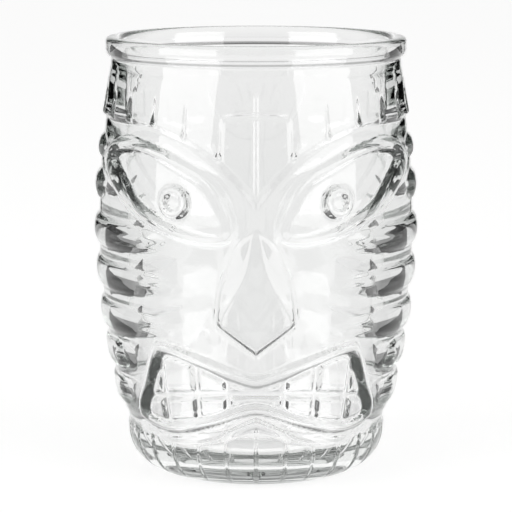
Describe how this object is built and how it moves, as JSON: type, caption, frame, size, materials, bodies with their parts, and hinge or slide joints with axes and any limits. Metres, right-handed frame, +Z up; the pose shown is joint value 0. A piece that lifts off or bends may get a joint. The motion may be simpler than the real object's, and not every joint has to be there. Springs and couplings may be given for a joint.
{
  "type": "tiki tumbler",
  "caption": "Clear pressed-glass tiki tumbler: a barrel-shaped drinking glass with a moulded mask on its front, ribbed sides, a rolled rim and a heavy base.",
  "frame": {"origin": "on the tumbler's axis, in the plane that its foot stands on", "axes": "+Z up along the axis to the rim, -Y out of the mask's face, +X to the viewer's right when the mask is looked at"},
  "size_m": [0.0914, 0.0903, 0.123],
  "materials": {
    "clear_glass": "clear soda-lime glass, pressed and fire-polished"
  },
  "bodies": {
    "root": {"glass_tumbler": "clear_glass"}
  },
  "joints": []
}
